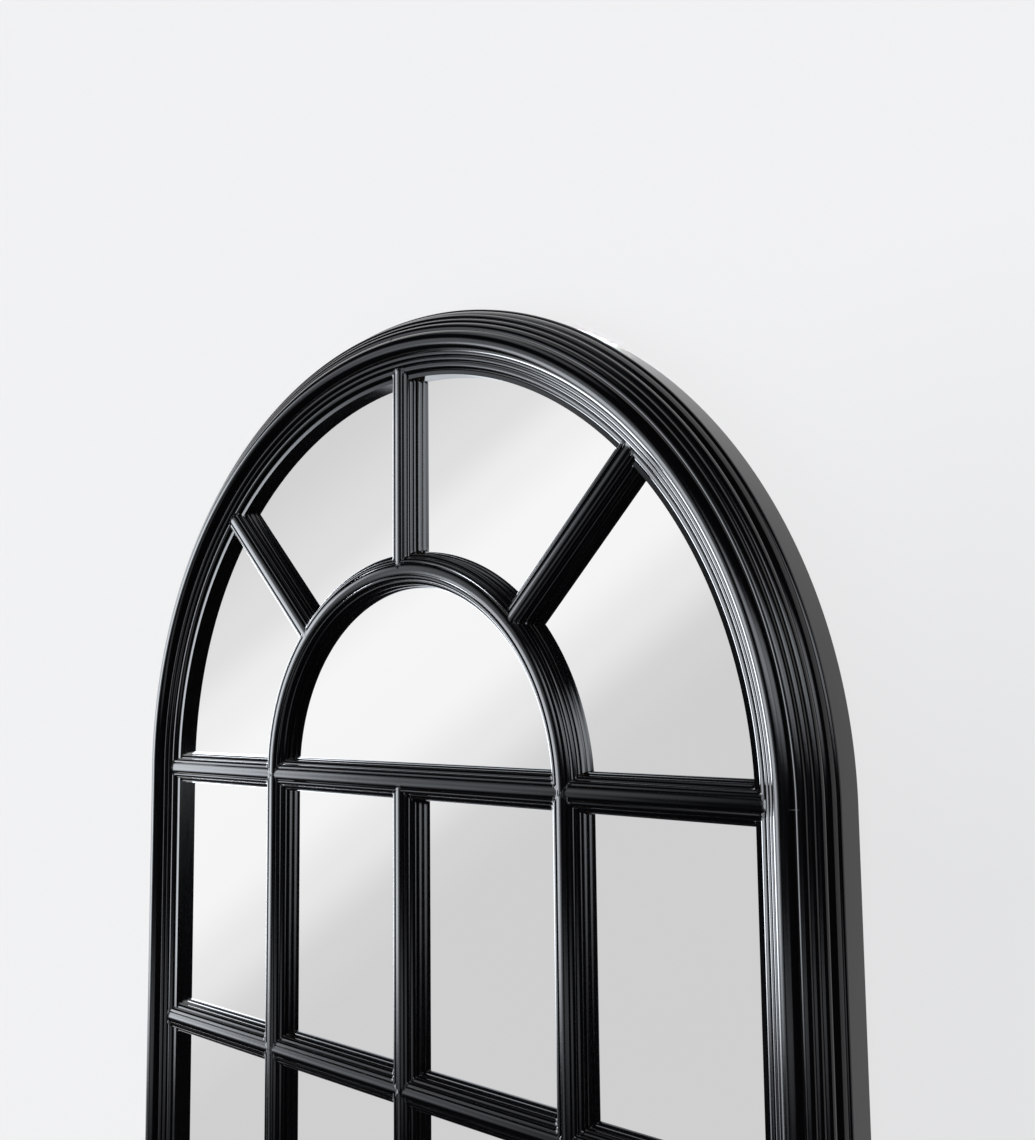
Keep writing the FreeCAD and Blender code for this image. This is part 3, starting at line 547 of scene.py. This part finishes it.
# Glazing bars
def straight(start, direction, span, length):
    """A shell of a straight bar; across lies to the right of its direction, seen from the room."""
    forward = Vector((direction[0], 0, direction[1]))
    right = Vector((direction[1], 0, -direction[0]))
    origin = Vector((start[0], 0, start[1]))

    def place(across, out, along):
        return origin + forward * along + right * across - Vector((0, out, 0))

    return sweep(BAR, span, place, length, joints=True)


def arch_side(radius, across):
    """Where the line of a bar through the arch centre meets a circle about it."""
    return math.sqrt(max(radius**2 - across**2, 0))


def spoke(name, degrees):
    """A bar from the inner arch out to the frame, at an angle from the right."""
    turn = math.radians(degrees)

    def span(across, out):
        inner = arch_side(COLUMN_PITCH + abs(across), across)
        return inner, arch_side(lip_reach(out), across)

    length = SIGHT_RADIUS - COLUMN_PITCH
    shell = straight((0, ARCH_CENTRE), (math.cos(turn), math.sin(turn)), span, length)
    return build(name, [shell], BAR_LACQUER)


def inner_arch(name):
    """The half-round bar above the transom."""
    def span(across, out):
        return 0, math.pi

    def place(across, out, angle):
        reach = COLUMN_PITCH + across
        return Vector((reach * math.cos(angle), -out, ARCH_CENTRE + reach * math.sin(angle)))

    shell = sweep(BAR, span, place, math.pi * COLUMN_PITCH)
    return build(name, [shell], BAR_LACQUER)


def mullion(name, column):
    """An upright bar; the middle one starts below the transom, the others carry on from the inner arch."""
    def span(across, out):
        top = abs(across) if column == 0 else 0
        return top, ARCH_CENTRE - SIGHT_BOTTOM + lip_reach(out) - SIGHT_RADIUS

    length = ARCH_CENTRE - SIGHT_BOTTOM
    shell = straight((column * COLUMN_PITCH, ARCH_CENTRE), (0, -1), span, length)
    return build(name, [shell], BAR_LACQUER)


def transom(name):
    """Three lengths between the frame and the sides of the inner arch, which run on down as mullions."""
    def beside_arch(across, radius):
        return arch_side(radius, across) if across < 0 else radius

    def middle_span(across, out):
        reach = beside_arch(across, COLUMN_PITCH - abs(across))
        return -reach, reach

    def outer_span(across, out):
        inner = beside_arch(across, COLUMN_PITCH + abs(across))
        return inner, beside_arch(across, lip_reach(out))

    def left_span(across, out):
        inner, outer = outer_span(across, out)
        return -outer, -inner

    outer_length = SIGHT_RADIUS - COLUMN_PITCH
    shells = [
        straight((0, ARCH_CENTRE), (1, 0), left_span, outer_length),
        straight((0, ARCH_CENTRE), (1, 0), middle_span, 2 * COLUMN_PITCH),
        straight((0, ARCH_CENTRE), (1, 0), outer_span, outer_length),
    ]
    return build(name, shells, BAR_LACQUER)


def cross_bar(name, height):
    """Four lengths between the frame and the mullions."""
    def segment(first, second):
        def span(across, out):
            start = -lip_reach(out) if first is None else first * COLUMN_PITCH + abs(across)
            end = lip_reach(out) if second is None else second * COLUMN_PITCH - abs(across)
            return start, end
        return span

    edges = [None, -1, 0, 1, None]
    shells = [
        straight((0, height), (1, 0), segment(first, second), COLUMN_PITCH)
        for first, second in zip(edges, edges[1:])
    ]
    return build(name, shells, BAR_LACQUER)


dark_pieces = [
    quarter_arch("arch_right", 0),
    quarter_arch("arch_left", math.pi / 2),
    stile("stile_right", 1, "right"),
    stile("stile_left", -1, "left"),
    rail("bottom_rail"),
    inner_arch("inner_arch_bar"),
    spoke("spoke_right", 45),
    spoke("spoke_centre", 90),
    spoke("spoke_left", 135),
    transom("transom"),
    mullion("mullion_left", -1),
    mullion("mullion_centre", 0),
    mullion("mullion_right", 1),
    *(cross_bar(name, height) for name, height in CROSS_BARS.items()),
]

# Nodes of the frame that keep their shape
NODE_SURFACES = {
    "backing_panel": "fibreboard",
    "backing_screws": "screw_steel",
    "hanger_screws": "screw_steel",
    "hanger_strap_left": "hanger_steel",
    "hanger_strap_right": "hanger_steel",
    "d_ring_left": "hanger_steel",
    "d_ring_right": "hanger_steel",
    "crown_dowels": "beech",
    "springing_dowels": "beech",
    "mitre_dowels": "beech",
}
NODE_SURFACES.update({name: "mirror_glass" for name in nodes if "pane_" in name or name.endswith("_pane")})
for name, surface in NODE_SURFACES.items():
    nodes[name].data.materials.clear()
    nodes[name].data.materials.append(SURFACES[surface])

# The panes show the clean room and not the mouldings beside them
for piece in dark_pieces:
    piece.visible_glossy = False

# Camera at the photographer's place
CAMERA_PLACE = Vector((0.97003, -0.89695, 0.24526))
CAMERA_YAW, CAMERA_PITCH, CAMERA_ROLL = 0.7510, 0.0985, -0.0113
LENS, SENSOR = 38.29, 36
PHOTO_PIXELS = (1035, 1140)


def camera_axes(yaw, pitch, roll):
    """Right, up and forward of a camera that is turned left, tipped up and rolled."""
    forward = Vector((-math.sin(yaw) * math.cos(pitch), math.cos(yaw) * math.cos(pitch), math.sin(pitch)))
    level = Vector((math.cos(yaw), math.sin(yaw), 0))
    upright = level.cross(forward)
    right = math.cos(roll) * level + math.sin(roll) * upright
    up = math.cos(roll) * upright - math.sin(roll) * level
    return right, up, forward


RIGHT, UP, FORWARD = camera_axes(CAMERA_YAW, CAMERA_PITCH, CAMERA_ROLL)
camera = bpy.data.objects.new("camera", bpy.data.cameras.new("camera"))
camera.data.lens = LENS
camera.data.sensor_width = SENSOR
camera.matrix_world = Matrix.Translation(CAMERA_PLACE) @ Matrix((RIGHT, UP, -FORWARD)).transposed().to_4x4()
bpy.context.scene.collection.objects.link(camera)
bpy.context.scene.camera = camera


# Stage: the wall is shaded low on the right, between these places across and up it
WALL_SIZE = 6.0
WALL_GAP = 1 * MM
WALL_HOLE_INSET = 15 * MM
WALL_HOLE_STEPS = 48
WALL_TONE = (0.925, 0.926, 0.928)
WALL_GLOW = 0.85
WALL_SHADE = 0.87
SHADE_ACROSS, SHADE_UP = (0.2, 0.6), (0.1, 0.6)
FLOOR_TONE = (0.80, 0.80, 0.79)
FLOOR_GAP = 0.5 * MM


def stage_object(name, mesh, material):
    """A piece of the studio, which is not a piece of the mirror."""
    mesh.materials.append(material)
    made = bpy.data.objects.new(name, mesh)
    bpy.context.scene.collection.objects.link(made)
    return made


def wall_material():
    """Pale plaster. It shows from the room only, so that the back of the mirror can be seen from behind."""
    material, tree, shader = new_material("wall")
    place = object_place(tree)
    feed(tree, shader, {
        "Base Color": (*WALL_TONE, 1),
        "Roughness": 0.9,
        "Normal": bump(tree, clouds(tree, place, 70.0, 3.0), 0.06, 1.0 * MM),
    })
    # Painted shade: the glow is made darker low on the right
    spot = add_node(tree, "ShaderNodeSeparateXYZ", {"Vector": place}).outputs
    corner = calculate(tree, "MULTIPLY", spread(tree, spot["X"], 0, 1, *SHADE_ACROSS),
                       spread(tree, spot["Z"], 1, 0, *SHADE_UP))
    glow = add_node(tree, "ShaderNodeEmission", {"Color": (*WALL_TONE, 1),
                                                 "Strength": spread(tree, corner, 1.0, WALL_SHADE)})
    lit = add_node(tree, "ShaderNodeMixShader", {0: WALL_GLOW, 1: shader.outputs["BSDF"],
                                                 2: glow.outputs["Emission"]})
    path = add_node(tree, "ShaderNodeLightPath").outputs
    side = add_node(tree, "ShaderNodeNewGeometry").outputs
    seen = calculate(tree, "MAXIMUM", path["Is Camera Ray"], path["Is Glossy Ray"])
    shown = add_node(tree, "ShaderNodeMath", {0: seen, 1: side["Backfacing"]}, operation="SUBTRACT",
                     use_clamp=True)
    clear = add_node(tree, "ShaderNodeBsdfTransparent")
    mixed = add_node(tree, "ShaderNodeMixShader", {0: shown.outputs["Value"], 1: clear.outputs["BSDF"],
                                                   2: lit.outputs["Shader"]})
    tree.links.new(mixed.outputs["Shader"], tree.nodes["Material Output"].inputs["Surface"])
    return material


def wall():
    """A wall plane behind the mirror, open where the mirror covers it."""
    radius = OUTER_RADIUS - WALL_HOLE_INSET
    turns = [math.pi * step / WALL_HOLE_STEPS for step in range(WALL_HOLE_STEPS + 1)]
    hole = [(radius * math.cos(turn), ARCH_CENTRE + radius * math.sin(turn)) for turn in turns]
    hole += [(-radius, FRAME_BOTTOM + WALL_HOLE_INSET), (radius, FRAME_BOTTOM + WALL_HOLE_INSET)]
    top, bottom = WALL_SIZE, FRAME_BOTTOM
    outside = [(-WALL_SIZE, bottom), (WALL_SIZE, bottom), (WALL_SIZE, top), (-WALL_SIZE, top)]
    shape = bmesh.new()
    edges = []
    for loop in (outside, hole):
        corners = [shape.verts.new((across, WALL_GAP, up)) for across, up in loop]
        edges += [shape.edges.new((corners[index - 1], corners[index])) for index in range(len(corners))]
    bmesh.ops.triangle_fill(shape, use_beauty=True, edges=edges, normal=(0, -1, 0))
    for face in shape.faces:
        face.normal_update()
        if face.normal.y > 0:
            face.normal_flip()
    mesh = bpy.data.meshes.new("wall")
    shape.to_mesh(mesh)
    shape.free()
    return stage_object("wall", mesh, wall_material())


def floor():
    """A plain pale floor just below the mirror."""
    material, tree, shader = new_material("floor")
    feed(tree, shader, {"Base Color": (*FLOOR_TONE, 1), "Roughness": 0.85})
    height = FRAME_BOTTOM - FLOOR_GAP
    corners = [(-WALL_SIZE, -WALL_SIZE), (WALL_SIZE, -WALL_SIZE),
               (WALL_SIZE, WALL_SIZE), (-WALL_SIZE, WALL_SIZE)]
    mesh = bpy.data.meshes.new("floor")
    mesh.from_pydata([(x, y, height) for x, y in corners], [], [(0, 1, 2, 3)])
    made = stage_object("floor", mesh, material)
    made.visible_glossy = False
    return made


wall()
floor()

# World: pale to the eye and in the mirror glass, and nearly dark in the gloss of the lacquer.
# The glass shows one slanting gleam: places along its slant, in the photo's pixels, with their tones
GLEAM_SLANT = math.radians(40)
GLEAM = [(540, 0.70), (640, 0.80), (690, 0.93), (740, 1.0),
         (820, 0.99), (880, 0.87), (940, 0.71), (990, 0.68)]
GLEAM_LEAST_DEPTH = 0.05
ROOM_FRONT = 0.02
ROOM_BEHIND_WALL = 0.55
WALL_FADE = 0.15
ROOM_TINT = (0.93, 0.98, 1.05)

# Lights of the room: azimuth, elevation, half width, half height, soft edge (degrees) and brightness
ROOM_LIGHTS = [
    (-66, 1, 12, 15, 3, 6.6),
    (-84, 1, 8, 15, 4, 1.8),
    (-49, -10, 7, 8, 5, 1.7),
    (-46, 10, 9, 10, 5, 1.3),
    (2, 11, 16, 7, 4, 4.5),
    (38, 14, 16, 9, 5, 2.9),
    (-50, 62, 16, 8, 5, 0.9),
    (-4, -15, 24, 3, 2, 1.0),
]
LIGHT_LEAST_DEPTH = 0.02

# Windows on both sides, which only what lies beyond a first reflection shows
WINDOW_DEPTH = 1.5
WINDOW_TOWARDS = Vector((0.95, -0.20, 0.22)).normalized()
WINDOW_EDGE, WINDOW_CORE, WINDOW_STRENGTH = 0.89, 0.975, 5.0
LEFT_WINDOW_STRENGTH = 1.2
LEFT_WINDOW_SIDE, LEFT_WINDOW_SILL, LEFT_WINDOW_HEAD = (-0.85, -0.75), (-0.55, -0.45), (0.40, 0.50)


def facing(tree, towards, axis):
    """How far a direction points along an axis."""
    dot = add_node(tree, "ShaderNodeVectorMath", {0: towards, 1: axis}, operation="DOT_PRODUCT")
    return dot.outputs["Value"]


def gleam(tree, towards):
    """The tones in the glass, along one slanting line of the picture that it reflects."""
    right, up, forward = [Vector((axis.x, -axis.y, axis.z)) for axis in (RIGHT, UP, FORWARD)]
    depth = calculate(tree, "MAXIMUM", facing(tree, towards, forward), GLEAM_LEAST_DEPTH)
    pixels = LENS / SENSOR * PHOTO_PIXELS[1]

    def along_slant(axis, share):
        offset = calculate(tree, "DIVIDE", facing(tree, towards, axis), depth)
        return calculate(tree, "MULTIPLY", offset, pixels * share)

    slant = calculate(tree, "ADD", along_slant(right, math.sin(GLEAM_SLANT)),
                      along_slant(up, -math.cos(GLEAM_SLANT)))
    centre = PHOTO_PIXELS[0] / 2 * math.sin(GLEAM_SLANT) + PHOTO_PIXELS[1] / 2 * math.cos(GLEAM_SLANT)
    first, last = GLEAM[0][0], GLEAM[-1][0]
    place = spread(tree, slant, 0, 1, first - centre, last - centre)
    ramp = add_node(tree, "ShaderNodeValToRGB", {"Fac": place})
    ramp.color_ramp.interpolation = "EASE"
    stops = ramp.color_ramp.elements
    while len(stops) < len(GLEAM):
        stops.new(0.5)
    for stop, (where, tone) in zip(stops, GLEAM):
        stop.position = (where - first) / (last - first)
        stop.color = (tone, tone, tone, 1)
    return ramp.outputs["Color"]


def room_light(tree, towards, azimuth, elevation, half_width, half_height, edge, strength):
    """A soft rectangle of light; angles in degrees, azimuth from the front towards the right."""
    turn, lift = math.radians(azimuth), math.radians(elevation)
    centre = Vector((math.sin(turn) * math.cos(lift), -math.cos(turn) * math.cos(lift), math.sin(lift)))
    side = Vector((math.cos(turn), math.sin(turn), 0))
    depth = calculate(tree, "MAXIMUM", facing(tree, towards, centre), LIGHT_LEAST_DEPTH)
    light = strength
    for axis, half in ((side, half_width), (side.cross(centre), half_height)):
        offset = calculate(tree, "DIVIDE", facing(tree, towards, axis), depth)
        start, end = (math.tan(math.radians(half + reach)) for reach in (-edge, edge))
        within = spread(tree, calculate(tree, "ABSOLUTE", offset), 1, 0, start, end)
        light = calculate(tree, "MULTIPLY", within, light)
    return light


def windows(tree, towards):
    """The windows on both sides, which reach the flanks of the bars by way of the glass."""
    height = facing(tree, towards, (0, 0, 1))
    left = spread(tree, facing(tree, towards, (1, 0, 0)), LEFT_WINDOW_STRENGTH, 0, *LEFT_WINDOW_SIDE)
    left = calculate(tree, "MULTIPLY", left, spread(tree, height, 0, 1, *LEFT_WINDOW_SILL))
    left = calculate(tree, "MULTIPLY", left, spread(tree, height, 1, 0, *LEFT_WINDOW_HEAD))
    right = spread(tree, facing(tree, towards, WINDOW_TOWARDS), 0, WINDOW_STRENGTH, WINDOW_EDGE, WINDOW_CORE)
    return calculate(tree, "ADD", left, right)


def world_light():
    """The gleam for the eye and the glass, and for the lacquer a dim room with its lights."""
    world = bpy.data.worlds.new("studio")
    bpy.context.scene.world = world
    world.use_nodes = True
    tree = world.node_tree
    towards = add_node(tree, "ShaderNodeTexCoord").outputs["Generated"]
    path = add_node(tree, "ShaderNodeLightPath").outputs
    near = calculate(tree, "LESS_THAN", path["Glossy Depth"], WINDOW_DEPTH)
    window = calculate(tree, "MULTIPLY", windows(tree, towards), calculate(tree, "SUBTRACT", 1, near))
    behind = spread(tree, facing(tree, towards, (0, 1, 0)), 0, ROOM_BEHIND_WALL, 0.0, WALL_FADE)
    room = calculate(tree, "ADD", calculate(tree, "MAXIMUM", behind, ROOM_FRONT), window)
    for light in ROOM_LIGHTS:
        room = calculate(tree, "ADD", room, room_light(tree, towards, *light))
    tinted = add_node(tree, "ShaderNodeVectorMath", {0: room, 1: ROOM_TINT}, operation="MULTIPLY")
    glass = calculate(tree, "MULTIPLY", path["Is Singular Ray"], near)
    pale = calculate(tree, "MAXIMUM", path["Is Camera Ray"], glass)
    mixed = add_node(tree, "ShaderNodeMix", data_type="RGBA")
    feed(tree, mixed, {"Factor": pale, "A": tinted.outputs["Vector"], "B": gleam(tree, towards)})
    tree.links.new(mixed.outputs["Result"], tree.nodes["Background"].inputs["Color"])


world_light()

# Lamp behind the mirror, with its power from the brightness of its face
LAMP_PLACE, LAMP_TARGET = Vector((-1.5, 2.6, 1.2)), Vector((0, 0, -0.2))
LAMP_SIZE = 1.6
LAMP_BRIGHTNESS = 6
LAMP_POWER = 4 * LAMP_SIZE**2 * LAMP_BRIGHTNESS
LAMP_COLOUR = (0.93, 0.97, 1.0)


def back_lamp():
    """A soft square lamp on the back; it lights by shadow rays alone, and the camera doesn't see it."""
    data = bpy.data.lights.new("softbox_back", "AREA")
    data.shape = "RECTANGLE"
    data.size, data.size_y = LAMP_SIZE, LAMP_SIZE
    data.energy = LAMP_POWER
    data.color = LAMP_COLOUR
    data.cycles.use_multiple_importance_sampling = False
    lamp = bpy.data.objects.new("softbox_back", data)
    lamp.location = LAMP_PLACE
    lamp.rotation_mode = "QUATERNION"
    lamp.rotation_quaternion = (LAMP_TARGET - LAMP_PLACE).to_track_quat("-Z", "Y")
    lamp.visible_camera = False
    bpy.context.scene.collection.objects.link(lamp)


back_lamp()

bpy.context.scene.view_settings.view_transform = "Standard"
